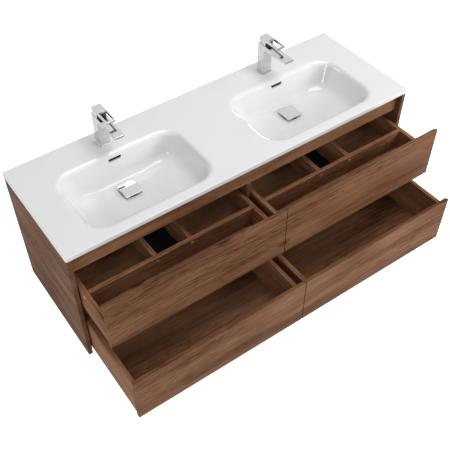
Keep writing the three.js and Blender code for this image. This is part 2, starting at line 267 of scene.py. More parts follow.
def oakGroup():
    # Tone of a printed oak decor along X: broad bands, wavy growth rings that bend round
    # sparse knots, fine fibres, and short dark pores.
    group, given, out = newGroup("oakDecor", [
        ("Vector", "NodeSocketVector", None),
        ("Ring Spacing", "NodeSocketFloat", 0.016),
        ("Waviness", "NodeSocketFloat", 1.0)],
        [("Tone", "NodeSocketFloat"), ("Pores", "NodeSocketFloat"), ("Knots", "NodeSocketFloat")])
    vector = given["Vector"]
    split = newNode(group, "ShaderNodeSeparateXYZ", {0: vector})
    cross = maths(group, "ADD", maths(group, "MULTIPLY", split.outputs[1], 0.83), split.outputs[2])
    knotField = newNode(group, "ShaderNodeTexVoronoi", {
        "Vector": scaled(group, vector, (3.0, 7.0, 7.0)), "Scale": 1.0, "Randomness": 1.0})
    knot = between(group, knotField.outputs["Distance"], 0.02, 0.30, 1.0, 0.0)
    waves = noiseOf(group, scaled(group, vector, (2.0, 6.5, 6.5)), detail=3.0, roughness=0.45)
    shift = maths(group, "MULTIPLY", maths(group, "MULTIPLY", waves.outputs[0], 7.0),
                  given["Waviness"])
    shift = maths(group, "ADD", shift, maths(group, "MULTIPLY", knot, 1.6))
    phase = maths(group, "ADD", maths(group, "DIVIDE", cross, given["Ring Spacing"]), shift)
    rings = between(group, maths(group, "PINGPONG", phase, 0.5), 0.0, 0.22)  # thin dark lines
    zones = noiseOf(group, scaled(group, vector, (1.1, 5.0, 5.0)), detail=2.0)
    rings = maths(group, "MULTIPLY", maths(group, "SUBTRACT", rings, 0.8),
                  between(group, zones.outputs[0], 0.42, 0.62, 0.02, 0.12))
    # The streaks wander sideways along the board, by up to about 10 mm.
    drift = noiseOf(group, scaled(group, vector, (2.6, 7.0, 7.0)), detail=2.0)
    wander = newNode(group, "ShaderNodeCombineXYZ", {
        1: maths(group, "MULTIPLY", maths(group, "MULTIPLY", drift.outputs[0], 0.035),
                 given["Waviness"])}).outputs[0]
    wandered = newNode(group, "ShaderNodeVectorMath", {0: vector, 1: wander}).outputs[0]
    bands = noiseOf(group, scaled(group, wandered, (1.5, 13.0, 13.0)), detail=4.0, roughness=0.6)
    streaks = noiseOf(group, scaled(group, wandered, (2.8, 80.0, 80.0)), detail=5.0, roughness=0.65)
    fibres = noiseOf(group, scaled(group, wandered, (16.0, 520.0, 520.0)), detail=2.0)
    clouds = noiseOf(group, scaled(group, vector, (3.2, 8.0, 8.0)), detail=3.0)
    tone = rings
    for layer, weight in ((bands, 0.62), (streaks, 0.42), (fibres, 0.24), (clouds, 0.46)):
        centred = maths(group, "SUBTRACT", layer.outputs[0], 0.5)
        tone = maths(group, "ADD", tone, maths(group, "MULTIPLY", centred, weight))
    # Short dark cracks, gathered where the rings are strong.
    cracks = noiseOf(group, scaled(group, wandered, (19.0, 270.0, 270.0)), detail=2.0)
    cracks = maths(group, "MULTIPLY", between(group, cracks.outputs[0], 0.54, 0.66),
                   between(group, zones.outputs[0], 0.40, 0.60, 0.05, 0.20))
    tone = maths(group, "ADD", maths(group, "SUBTRACT", tone, cracks), 0.51)
    pores = noiseOf(group, scaled(group, vector, (55.0, 1500.0, 1500.0)), detail=1.0)
    pores = between(group, pores.outputs[0], 0.60, 0.72)
    core = between(group, knotField.outputs["Distance"], 0.02, 0.12, 1.0, 0.0)
    for label, value in (("Tone", tone), ("Pores", pores), ("Knots", core)):
        group.links.new(value, out.inputs[label])
    return group


def marksGroup():
    # Faint wipe marks and patches: a value around 0.5 that varies slowly and finely.
    group, given, out = newGroup("surfaceMarks", [
        ("Vector", "NodeSocketVector", None),
        ("Patch Size", "NodeSocketFloat", 0.08),
        ("Fineness", "NodeSocketFloat", 1.0)],
        [("Marks", "NodeSocketFloat"), ("Ripple", "NodeSocketFloat")])
    size = maths(group, "DIVIDE", 1.0, given["Patch Size"])
    patches = noiseOf(group, given["Vector"], size, detail=3.0, roughness=0.55)
    wipes = noiseOf(group, scaled(group, given["Vector"], (1.0, 0.25, 0.6)),
                    maths(group, "MULTIPLY", size, 6.0), detail=2.0)
    marks = maths(group, "ADD", maths(group, "MULTIPLY", patches.outputs[0], 0.6),
                  maths(group, "MULTIPLY", wipes.outputs[0], 0.4))
    ripple = noiseOf(group, given["Vector"], maths(group, "MULTIPLY", given["Fineness"], 40.0),
                     detail=1.0)
    group.links.new(marks, out.inputs["Marks"])
    group.links.new(ripple.outputs[0], out.inputs["Ripple"])
    return group


oak, surfaceMarks = oakGroup(), marksGroup()


def newMaterial(name, viewColour, shaderValues):
    material = bpy.data.materials.new(name)
    material.use_nodes = True
    material.diffuse_color = (*viewColour, 1)
    tree = material.node_tree
    shader = tree.nodes["Principled BSDF"]
    for socket, value in shaderValues.items():
        shader.inputs[socket].default_value = value
    place = newNode(tree, "ShaderNodeTexCoord").outputs["Object"]
    return material, tree, shader, place


oakLook = dict(
    darkest=(0.062, 0.0240, 0.0108), dark=(0.116, 0.0495, 0.0238), mid=(0.188, 0.0890, 0.0455),
    light=(0.272, 0.142, 0.0815), poreShade=0.62, knotShade=0.40,
    roughness=(0.52, 0.68), poreDepth=0.00012)


def oakMaterial(name, grain, offset, ringSpacing=0.016, waviness=1.0, depth=1.0):
    material, tree, shader, place = newMaterial(name, oakLook["mid"], {
        "Specular IOR Level": 0.06})
    turned = {"x": (0, 0, 0), "y": (0, 0, math.pi / 2), "z": (0, math.pi / 2, 0)}[grain]
    place = newNode(tree, "ShaderNodeMapping", {
        "Vector": place, "Rotation": turned, "Location": offset}).outputs[0]
    grainNode = newNode(tree, "ShaderNodeGroup", node_tree=oak)
    for socket, value in (("Ring Spacing", ringSpacing), ("Waviness", waviness)):
        grainNode.inputs[socket].default_value = value
    tree.links.new(place, grainNode.inputs["Vector"])
    tone, pores, knots = (grainNode.outputs[k] for k in ("Tone", "Pores", "Knots"))
    stops = [(0.22, "darkest"), (0.38, "dark"), (0.54, "mid"), (0.76, "light")]
    # depth scales every colour of the ramp; above 1 it paints light into boards that lie in shade.
    colour = ramp(tree, tone, [(at, tuple(depth * c for c in oakLook[k])) for at, k in stops])
    shade = maths(tree, "SUBTRACT", 1.0, maths(tree, "MULTIPLY", pores, 1 - oakLook["poreShade"]))
    shade = maths(tree, "MULTIPLY", shade, maths(
        tree, "SUBTRACT", 1.0, maths(tree, "MULTIPLY", knots, 1 - oakLook["knotShade"])))
    colour = newNode(tree, "ShaderNodeVectorMath", {0: colour, 1: shade},
                     operation="MULTIPLY").outputs[0]
    tree.links.new(colour, shader.inputs["Base Color"])
    tree.links.new(between(tree, tone, 0.2, 0.8, oakLook["roughness"][1], oakLook["roughness"][0]),
                   shader.inputs["Roughness"])
    height = maths(tree, "SUBTRACT", maths(tree, "MULTIPLY", tone, 0.5), pores)
    bump = newNode(tree, "ShaderNodeBump", {
        "Height": height, "Strength": 0.5, "Distance": oakLook["poreDepth"]})
    tree.links.new(bump.outputs[0], shader.inputs["Normal"])
    return material


def smoothMaterial(name, colour, shaderValues, roughness, variation, ripple, patch=0.08,
                   fineness=1.0):
    # A plain finish with faint marks in its colour and gloss, and a slight ripple.
    material, tree, shader, place = newMaterial(name, colour, shaderValues)
    marks = newNode(tree, "ShaderNodeGroup", {"Vector": place}, node_tree=surfaceMarks)
    marks.inputs["Patch Size"].default_value = patch
    marks.inputs["Fineness"].default_value = fineness
    shades = [tuple(c * (1 + k * variation) for c in colour) for k in (-1, 1)]
    tone = ramp(tree, marks.outputs["Marks"], [(0.3, shades[0]), (0.7, shades[1])])
    tree.links.new(tone, shader.inputs["Base Color"])
    tree.links.new(between(tree, marks.outputs["Marks"], 0.3, 0.7, *roughness),
                   shader.inputs["Roughness"])
    bump = newNode(tree, "ShaderNodeBump", {
        "Height": marks.outputs["Ripple"], "Strength": 0.4, "Distance": ripple})
    tree.links.new(bump.outputs[0], shader.inputs["Normal"])
    return material, tree, shader, tone


def ceramicMaterial():
    look = dict(glaze=(0.755, 0.755, 0.752), paintedSlotShade=(0.004, 0.004, 0.004))
    material, tree, shader, tone = smoothMaterial(
        "whiteGlaze", look["glaze"], {"IOR": 1.5, "Coat Weight": 0.5, "Coat Roughness": 0.02},
        (0.04, 0.08), 0.008, 0.00006, patch=0.25, fineness=0.35)
    # Where the overflow slot is sunk, the glaze is painted near black: painted shade for the dark
    # inside of the overflow.
    paintedSlotShade = newNode(tree, "ShaderNodeAttribute", attribute_name="paintedSlotShade").outputs["Fac"]
    mixed = newNode(tree, "ShaderNodeMix", data_type="RGBA")
    sockets = {socket.identifier: socket for socket in mixed.inputs}
    tree.links.new(paintedSlotShade, sockets["Factor_Float"])
    tree.links.new(tone, sockets["A_Color"])
    sockets["B_Color"].default_value = (*look["paintedSlotShade"], 1)
    result = next(s for s in mixed.outputs if s.identifier == "Result_Color")
    tree.links.new(result, shader.inputs["Base Color"])
    return material


def metalMaterial(name, colour, roughness, variation=0.02, ripple=0.00001, patch=0.03):
    return smoothMaterial(name, colour, {"Metallic": 1.0}, roughness, variation, ripple,
                          patch=patch, fineness=4.0)[0]


frontOak = oakMaterial("oakFronts", "x", (0.35, 0.0, 0.13), ringSpacing=0.017)
# Carcass and drawer-box boards take depth 1.4: painted light, lifting boards that lie in shade
# under the slab and inside the drawers.
carcassOak = oakMaterial("oakCarcassAlong", "x", (1.7, 0.2, 0.4), ringSpacing=0.014, depth=1.4)
sideOak = oakMaterial("oakPanelsDeep", "y", (0.9, 0.6, 0.1), ringSpacing=0.015, waviness=0.7)
boxOak = oakMaterial("oakBoxAlong", "x", (2.6, 1.1, 0.7), ringSpacing=0.015, waviness=0.8,
                     depth=1.4)
boxSideOak = oakMaterial("oakBoxDeep", "y", (3.3, 0.4, 1.2), ringSpacing=0.013, waviness=0.5,
                         depth=1.4)
ceramic = ceramicMaterial()
# The bottom panel's near-black colour is painted shade: it gives the dark seen through the siphon
# cut-outs under the drawers.
bottomBoardPaintedShade = smoothMaterial("bottomPanelPaintedShade", (0.006, 0.006, 0.006), {"Specular IOR Level": 0.1},
                            (0.7, 0.85), 0.25, 0.00008, patch=0.02, fineness=10.0)[0]
chrome = metalMaterial("polishedChrome", (0.72, 0.725, 0.73), (0.04, 0.09))
# A darker copy of the polished chrome: painted shade for the waste's flanged tube, which lies in
# shade under the cap.
chromePaintedShade = metalMaterial("chromePaintedShade", (0.20, 0.205, 0.21), (0.05, 0.12))
steel = metalMaterial("zincSteel", (0.60, 0.61, 0.63), (0.28, 0.42), variation=0.06)
brass = metalMaterial("brassCaps", (0.72, 0.52, 0.27), (0.25, 0.4), variation=0.05)
plastic = smoothMaterial("darkPlastic", (0.035, 0.035, 0.038), {"IOR": 1.46}, (0.42, 0.55),
                         0.12, 0.00005, patch=0.01, fineness=12.0)[0]
print("materials ready")


# ---- boards ----
boards = dict(edge=0.0006, frontRise=0.006, thickness=0.016, gap=0.0003, notchWidth=0.022,
              notchDepth=0.044)


def board(node, outline, axis, material):
    shell = carriedShell(outline, axis, *span(node, axis), boards["edge"])
    standsFor(joinedShells(f"{node}_board", shell), node, material, "wood")


def boxBoard(node, material):
    low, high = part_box(node)
    size = high - low
    axis = max(range(3), key=lambda k: size[k])
    board(node, rectangle(*[(low[k], high[k]) for k in range(3) if k != axis]), axis, material)


def frontBoard(node):
    low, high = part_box(node)
    profile = [(low.y, low.z), (high.y, low.z), (high.y, high.z - boards["frontRise"]),
               (low.y, high.z)]
    board(node, profile, 0, frontOak)


def partitionBoard():
    low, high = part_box("centre_partition")
    railBack = span("front_top_rail", 1)[1] + boards["gap"]
    railBottom = span("front_top_rail", 2)[0] - boards["gap"]
    profile = [(low.y, low.z), (high.y, low.z), (high.y, high.z), (railBack, high.z),
               (railBack, railBottom), (low.y, railBottom)]
    board("centre_partition", profile, 0, sideOak)


def notchedRail():
    low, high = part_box("back_rail_upper")
    floor = high.z - boards["notchDepth"]
    left, right = low.x + boards["notchWidth"], high.x - boards["notchWidth"]
    profile = [(low.x, low.z), (high.x, low.z), (high.x, floor), (right, floor),
               (right, high.z), (left, high.z), (left, floor), (low.x, floor)]
    board("back_rail_upper", profile, 1, carcassOak)


def splitBottom(drawer):
    node = f"{drawer}_bottom"
    low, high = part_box(node)
    cutFront = span(f"{drawer}_cross_panel", 1)[1]
    cut = (span(f"{drawer}_divider_left", 0)[1], span(f"{drawer}_divider_right", 0)[0])
    outline = [(low.x, low.y), (high.x, low.y), (high.x, high.y), (cut[1], high.y),
               (cut[1], cutFront), (cut[0], cutFront), (cut[0], high.y), (low.x, high.y)]
    board(node, outline, 2, boxOak)


# The plain boards of each row's drawer boxes: those along X, then those along Y.
boxParts = dict(
    upper=(["cross_panel", "back_left", "back_right"],
           ["side_left", "side_right", "divider_left", "divider_right"]),
    lower=(["back", "bottom"], ["side_left", "side_right"]))


def buildBoards():
    for side in sides:
        boxBoard(f"side_panel_{side}", sideOak)
    boxBoard("front_top_rail", carcassOak)
    boxBoard("back_rail_lower", carcassOak)
    # Near black as painted shade under the drawers.
    boxBoard("bottom_panel", bottomBoardPaintedShade)
    partitionBoard()
    notchedRail()
    for row in ("upper", "lower"):
        for side in sides:
            drawer = f"{row}_{side}_drawer"
            frontBoard(f"{drawer}_front")
            along, deep = boxParts[row]
            for part in along:
                boxBoard(f"{drawer}_{part}", boxOak)
            for part in deep:
                boxBoard(f"{drawer}_{part}", boxSideOak)
            if row == "upper":
                splitBottom(drawer)


buildBoards()
print("boards built")


# ---- countertop ----
def openingBox(name):
    box = next(o for o in record["physics"]["openings"] if o["name"] == name)["box_m"]
    return np.array(box[0]), np.array(box[1])


# Rings of the bowl from the flat top down to the seat of the waste: half width, half depth,
# corner radius, depth below the top, and how far the ring is shifted towards the wall.
bowl = dict(
    inside=[
        (0.252, 0.163, 0.084, 0.0, 0), (0.2485, 0.1595, 0.082, 0.0, 0),
        (0.2440, 0.1550, 0.079, 0.0004, 0), (0.2395, 0.1500, 0.076, 0.0016, 0),
        (0.2352, 0.1446, 0.072, 0.0044, 0), (0.2318, 0.1400, 0.069, 0.0090, 0),
        (0.2290, 0.1366, 0.0665, 0.0150, 0), (0.2190, 0.1298, 0.063, 0.0410, 0),
        (0.2098, 0.1240, 0.0605, 0.0640, 0), (0.2025, 0.1195, 0.058, 0.0780, 0),
        (0.1900, 0.1115, 0.055, 0.0890, 0.001), (0.1690, 0.0990, 0.051, 0.0958, 0.006),
        (0.1230, 0.0770, 0.046, 0.1006, 0.021), (0.0800, 0.0580, 0.041, 0.1038, 0.036),
        (0.0480, 0.0440, 0.040, 0.1060, 0.046), (0.0380, 0.0380, 0.038, 0.1068, 0.0475)],
    wall=0.007, drainRadius=0.0215, seatRadius=0.034, seatDepth=0.107, samples=5,
    slotLength=0.050, slotHeight=0.008, slotDepth=0.0205, slotSink=0.0055, slotSlope=0.0012,
    edge=0.0018, edgeSteps=5, edgeRun=0.002, flatRun=0.02, frontCorner=0.008, backCorner=0.0025,
    thickness=0.018, outsideFrom=0.0145, outsideFlare=0.004)

# Where the mesh is made finer: rays across the slot and at the slab's corners, rows at the slot.
finer = dict(rays=200, slotRays=(-0.029, 0.0291, 0.0007), slotDistance=0.137, slotMargin=0.01,
             cornerReach=0.03, cornerRays=9, cornerMargin=0.004, rowBand=0.0075, rowStep=0.0007)


def smoothThrough(rows, samples):
    # Catmull-Rom curve through the rows, with the ends doubled.
    rows = np.array(rows, float)
    padded = np.concatenate([2 * rows[:1] - rows[1:2], rows, 2 * rows[-1:] - rows[-2:-1]])
    t = np.linspace(0, 1, samples, endpoint=False)[None, :, None]
    a, b, c, d = (padded[k:len(padded) - 3 + k, None] for k in range(4))
    curve = 0.5 * (2 * b + (c - a) * t + (2 * a - 5 * b + 4 * c - d) * t**2
                   + (3 * b - a - 3 * c + d) * t**3)
    return np.concatenate([curve.reshape(-1, rows.shape[1]), rows[-1:]])


def ringPoints(angle, halfRight, halfLeft, halfBack, halfFront, radius):
    # Where rays from a ring's middle meet a rectangle whose corners are rounded: the straight
    # side where it is met first, else the corner's circle.
    c, s = np.cos(angle), np.sin(angle)
    a = np.where(c > 0, halfRight, halfLeft)
    b = np.where(s > 0, halfBack, halfFront)
    r = radius(c, s) if callable(radius) else radius
    u, v = np.abs(c), np.abs(s)
    reach = np.minimum(a / np.maximum(u, 1e-9), b / np.maximum(v, 1e-9))
    inCorner = (reach * u > a - r) & (reach * v > b - r)
    towards = (a - r) * u + (b - r) * v
    square = towards**2 - (a - r)**2 - (b - r)**2 + r**2
    reach = np.where(inCorner, towards + np.sqrt(np.maximum(square, 0)), reach)
    return np.stack([reach * c, reach * s], -1)


def bowlAngles(centre, low, high):
    # Even rays, closer ones across the overflow slot, and more at the slab's corners.
    even = np.linspace(-math.pi, math.pi, finer["rays"], endpoint=False)
    slot = np.arctan2(finer["slotDistance"], np.arange(*finer["slotRays"]))
    margin = finer["slotMargin"]
    even = even[(even < slot.min() - margin) | (even > slot.max() + margin)]
    reach = finer["cornerReach"]
    corners = []
    for x in (low[0], high[0]):
        for y in (low[1], high[1]):
            exact = math.atan2(y - centre[1], x - centre[0])
            near = (np.linspace(-reach, reach, finer["cornerRays"]) if x == high[0]
                    else np.array([0.0]))
            corners.append(exact + near)
            even = even[np.abs(even - exact) > finer["cornerMargin"]]
    return np.unique(np.concatenate([even, slot, *corners]))


def slabHalf():
    # One half of the top, right of the middle plane: a closed tube of rings that run from the
    # drain up the bowl, over the flat and its rounded edge, and back below to the drain.
    low, high = (np.array(v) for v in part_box("countertop"))
    low[0] = 0.0
    top = high[2]
    bowlLow, bowlHigh = openingBox("basin_right")
    centre = (bowlLow + bowlHigh)[:2] / 2
    drain = np.array(middle("waste_cap_right"))[:2]
    angle = bowlAngles(centre, low, high)
    halves = (high[0] - centre[0], centre[0], high[1] - centre[1], centre[1] - low[1])
    rows = []

    def bowlRow(row, grow, extraDepth):
        halfX, halfY, radius, depth, shift = row
        ring = ringPoints(angle, halfX + grow, halfX + grow, halfY + grow, halfY + grow,
                          radius + grow)
        z = np.full(len(angle), top - depth - extraDepth)
        rows.append(np.column_stack([ring + centre + [0, shift], z]))

    def roundRow(radius, z):
        spin = np.column_stack([np.cos(angle), np.sin(angle)]) * radius
        rows.append(np.column_stack([spin + drain, np.full(len(angle), z)]))

    def edgeRow(inset, z):
        def corner(c, s):
            plain = np.where(s > 0, bowl["backCorner"], bowl["frontCorner"])
            return np.where(c > 0, np.maximum(plain - inset, 0), 0)
        ring = ringPoints(angle, halves[0] - inset, halves[1], halves[2] - inset,
                          halves[3] - inset, corner)
        rows.append(np.column_stack([ring + centre, np.full(len(angle), z)]))

    seat = top - bowl["seatDepth"]
    below = seat - bowl["wall"]
    for radius, z in ((bowl["drainRadius"], seat - 0.001), (bowl["drainRadius"] + 0.001, seat),
                      (bowl["seatRadius"] - 0.002, seat), (bowl["seatRadius"], seat + 0.0001)):
        roundRow(radius, z)
    profile = smoothThrough(bowl["inside"], bowl["samples"])
    slotBand = np.abs(profile[:, 3] - bowl["slotDepth"]) < finer["rowBand"]
    first, last = np.flatnonzero(slotBand)[[0, -1]]
    depths = np.arange(profile[first, 3], profile[last, 3], finer["rowStep"])
    dense = np.column_stack([np.interp(depths, profile[:, 3], profile[:, k]) for k in range(5)])
    profile = np.concatenate([profile[:first], dense, profile[last:]])
    bowlRows = (len(rows), len(rows) + len(profile))
    for row in profile[::-1]:
        bowlRow(row, 0, 0)
    edge, turns = bowl["edge"], np.linspace(0, math.pi / 2, bowl["edgeSteps"])
    edgeRow(bowl["flatRun"], top)
    edgeRow(edge + bowl["edgeRun"], top)
    for t in turns:
        edgeRow(edge * (1 - math.sin(t)), top - edge * (1 - math.cos(t)))
    foot = top - bowl["thickness"]
    for t in turns:
        edgeRow(edge * (1 - math.cos(t)), foot + edge * (1 - math.sin(t)))
    edgeRow(edge + bowl["edgeRun"], foot)
    edgeRow(bowl["flatRun"], foot)
    # Underneath, the bowl keeps an even wall and starts with a small flare at the slab.
    outside = [row for row in bowl["inside"] if row[3] > bowl["outsideFrom"]]
    firstOut = list(outside[0])
    firstOut[3] = bowl["thickness"] - bowl["wall"]
    bowlRow(firstOut, bowl["wall"] + bowl["outsideFlare"], bowl["wall"])
    for row in smoothThrough([firstOut] + outside[1:], 2):
        bowlRow(row, bowl["wall"], bowl["wall"])
    roundRow(bowl["drainRadius"] + 0.003, below)
    roundRow(bowl["drainRadius"], below + 0.001)
    return np.array(rows), bowlRows, centre, top


def slotCut(rows, bowlRows, centre, top):
    # Sinks a long hole with round ends into the back wall; its depth also gives the mask of the
    # painted shade, near black, that stands for the dark inside of the overflow.
    slotShadeWeight = np.zeros(rows.shape[:2])
    part = rows[bowlRows[0]:bowlRows[1]]
    across = part[..., 0] - centre[0]
    up = part[..., 2] - (top - bowl["slotDepth"])
    end = (bowl["slotLength"] - bowl["slotHeight"]) / 2
    inside = bowl["slotHeight"] / 2 - np.hypot(np.maximum(np.abs(across) - end, 0), up)
    depth = np.clip(inside / bowl["slotSlope"], 0, 1) * (part[..., 1] > centre[1])
    part[..., 1] += bowl["slotSink"] * depth
    slotShadeWeight[bowlRows[0]:bowlRows[1]] = np.clip(depth * 3, 0, 1)
    return slotShadeWeight


def buildCountertop():
    # The right half is mirrored in the middle plane, and points that coincide are merged.
    rows, bowlRows, centre, top = slabHalf()
    slotShadeWeight = slotCut(rows, bowlRows, centre, top)
    count, around = rows.shape[:2]
    half = rows.reshape(-1, 3)
    half[np.abs(half[:, 0]) < 1e-7, 0] = 0
    quads = ringQuads(count, around, closed=True)[:, [0, 3, 2, 1]]
    quads = quads[~np.all(half[quads, 0] == 0, axis=1)]
    points = np.concatenate([half, half * [-1, 1, 1]])
    faces = np.concatenate([quads, quads[:, ::-1] + len(half)])
    unique, index = np.unique(np.round(points, 7) + 0.0, axis=0, return_inverse=True)
    index = index.reshape(-1)
    # Mask of the painted shade inside the overflow slot, carried over to the merged points.
    slotShadeMask = np.zeros(len(unique), np.float32)
    np.maximum.at(slotShadeMask, index, np.tile(slotShadeWeight.reshape(-1), 2).astype(np.float32))
    merged = [tuple(dict.fromkeys(f)) for f in index[faces].tolist()]
    merged = [f for f in merged if len(f) > 2]
    used, merged = withoutUnused(unique, merged)
    piece = newPiece("countertop_glazed", unique[used], merged)
    attribute = piece.data.attributes.new("paintedSlotShade", "FLOAT", "POINT")
    attribute.data.foreach_set("value", slotShadeMask[used])
    standsFor(piece, "countertop", ceramic, "ceramic")


buildCountertop()
print("countertop built")


# ---- mixers ----
mixer = dict(edge=0.0008, baseCorner=0.0015, footGap=0.0003, footCorner=0.0012,
             backCorner=0.0022, frontCorner=0.004, tipCorner=0.0016, rootCorner=0.006,
             tipDrop=0.005, tipFoot=0.013, rootDrop=0.022, taper=0.08, taperRun=0.02,
             shankRadius=0.008, aeratorRadius=0.0105, aeratorSetback=0.016,
             collar=0.0145, stemHole=0.0102, collarSunk=0.004)
lever = dict(notchFloor=0.0008, armThickness=0.009, rootDepth=0.038, backHeight=0.017,
             heel=0.026, toe=0.036, windowRim=0.005, windowBack=0.044, windowCorner=0.0025,
             shadeSheetInset=0.0012, shadeSheetThickness=0.0007, stemRadius=0.004, stemSetback=0.014)


def cutAway(piece, cutter):
    # Takes the cutter's volume out of the piece and throws the cutter away.
    change = piece.modifiers.new("cut", "BOOLEAN")
    change.operation, change.solver, change.object = "DIFFERENCE", "EXACT", cutter
    graph = bpy.context.evaluated_depsgraph_get()
    made = bpy.data.meshes.new_from_object(piece.evaluated_get(graph))
    piece.modifiers.clear()
    piece.data = made
    bpy.data.objects.remove(cutter)
    made.set_sharp_from_angle(angle=math.radians(32))
    piece.modifiers.new("faces first", "WEIGHTED_NORMAL").keep_sharp = True


def mixerBase(side):
    node = f"mixer_base_{side}"
    low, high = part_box(node)
    shell = carriedShell(rectangle((low.x, high.x), (low.y, high.y)), 2, low.z, high.z,
                         mixer["edge"], radii=mixer["baseCorner"])
    standsFor(joinedShells(f"{node}_plate", shell), node, chrome, "chrome")


def mixerBody(side):
    # A square column and its flat spout, with the shank below and the aerator under the tip.
    node = f"mixer_body_{side}"
    low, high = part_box(node)
    foot = span(f"mixer_base_{side}", 2)[1] + mixer["footGap"]
    x = (low.x + high.x) / 2
    back, half = high.y, (high.x - low.x) / 2
    front = back - 2 * half
    top = high.z
    tipTop, tipFoot = top - mixer["tipDrop"], top - mixer["tipFoot"]
    root = top - mixer["rootDrop"]
    profile = [(back, foot), (back, top), (front, top), (low.y, tipTop), (low.y, tipFoot),
               (front, root), (front, foot)]
    radii = [mixer[f"{k}Corner"] for k in ("foot", "back", "front", "tip", "tip", "root", "foot")]
    points, faces, normals = carriedShell(profile, 0, low.x, high.x, mixer["edge"] * 1.5,
                                          radii=radii, steps=4)
    narrowed = 1 - mixer["taper"] * np.clip((front - points[:, 1]) / mixer["taperRun"], 0, 1)
    points[:, 0] = x + (points[:, 0] - x) * narrowed
    shank = disc(mixer["shankRadius"], low.z, foot + 0.002)
    aerator = disc(mixer["aeratorRadius"], tipFoot - 0.0004, tipFoot + 0.004)
    shells = [(points, faces, normals),
              turnedShell(shank, (x, (front + back) / 2, 0), 0.0008, 32),
              turnedShell(aerator, (x, low.y + mixer["aeratorSetback"], 0), 0.0006, 32)]
    standsFor(joinedShells(f"{node}_cast", *shells), node, chrome, "chrome")


def mixerCartridge(side):
    # A dark collar just above the body's top, and the cover inside it.
    node = f"mixer_cartridge_{side}"
    x, y, _ = middle(node)
    top = span(f"mixer_body_{side}", 2)[1]
    hole, collar, foot = mixer["stemHole"], mixer["collar"], top - mixer["collarSunk"]
    ring = [(hole, foot), (collar, foot), (collar, top + 0.0003), (hole, top + 0.0005)]
    cover = disc(hole + 0.001, top - 0.003, top + 0.0001)
    shells = [turnedShell(ring, (x, y, 0), 0.00015), turnedShell(cover, (x, y, 0), 0.0002)]
    standsFor(joinedShells(f"{node}_collar", *shells), node, plastic, "plastic")


def mixerLever(side):
    node = f"mixer_lever_{side}"
    low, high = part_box(node)
    x = (low.x + high.x) / 2
    underside = span(f"mixer_body_{side}", 2)[1] + lever["notchFloor"]
    armFoot = high.z - lever["armThickness"]
    stepBack = high.y - lever["rootDepth"]
    profile = [(high.y, high.z), (high.y, high.z - lever["backHeight"]),
               (high.y - lever["heel"], underside), (high.y - lever["toe"], underside),
               (stepBack, armFoot), (low.y, armFoot + 0.001), (low.y, high.z)]
    radii = [0.0012, 0.0012, 0.004, 0.002, 0.003, 0.0012, 0.0012]
    arm = joinedShells(f"{node}_arm", carriedShell(profile, 0, low.x, high.x, mixer["edge"],
                                                   radii=radii))
    rim = lever["windowRim"]
    window = rectangle((low.x + rim, high.x - rim),
                       (low.y + rim + 0.001, high.y - lever["windowBack"]))

    def windowCutter():
        return joinedShells("windowCutter", carriedShell(
            window, 2, armFoot - 0.002, high.z + 0.00005, mixer["edge"],
            radii=lever["windowCorner"], flare=-1))

    cutAway(arm, windowCutter())
    standsFor(arm, node, chrome, "chrome")
    # A thin black sheet under the arm and down the face of the lever's root: painted shade and
    # painted dark reflection for the gap between lever and body.
    inset = lever["shadeSheetInset"]
    across = (low.x + inset, high.x - inset)
    under = carriedShell(rectangle(across, (low.y + inset, stepBack + 0.0005)), 2,
                         armFoot - lever["shadeSheetThickness"], armFoot + 0.0003, 0.0001)
    rootShadeSheet = carriedShell(rectangle(across, (stepBack - 0.0010, stepBack + 0.0030)), 2,
                            underside + 0.0008, armFoot + 0.0003, 0.0001)
    shadeSheet = joinedShells(f"mixer_painted_shade_{side}", under)
    cutAway(shadeSheet, windowCutter())
    finished(shadeSheet, bodyOf[node], plastic, "plastic")
    finished(joinedShells(f"mixer_root_painted_shade_{side}", rootShadeSheet), bodyOf[node], plastic, "plastic")
    stem = disc(lever["stemRadius"], low.z, underside + 0.006)
    rod = joinedShells(f"mixer_stem_{side}", turnedShell(
        stem, (x, high.y - lever["stemSetback"], 0), 0.0005, 24))
    finished(rod, bodyOf[node], steel, "steel")


for side in sides:
    mixerBase(side)
    mixerBody(side)
    mixerCartridge(side)
    mixerLever(side)
print("mixers built")


# ---- wastes ----
waste = dict(capEdge=0.0009, capCorner=0.003, capPlate=0.004, rodRadius=0.004, plugRadius=0.012,
             flange=0.032, flangeHeight=0.0025, flangeTop=0.024, tail=0.020, bore=0.017,
             cylinderHole=0.0045, cylinderRadius=0.008, cylinderFoot=0.038, cylinderTop=0.003,
             armHalf=0.0025, armInner=0.0072, armFoot=0.034, armTop=0.031, segments=64)


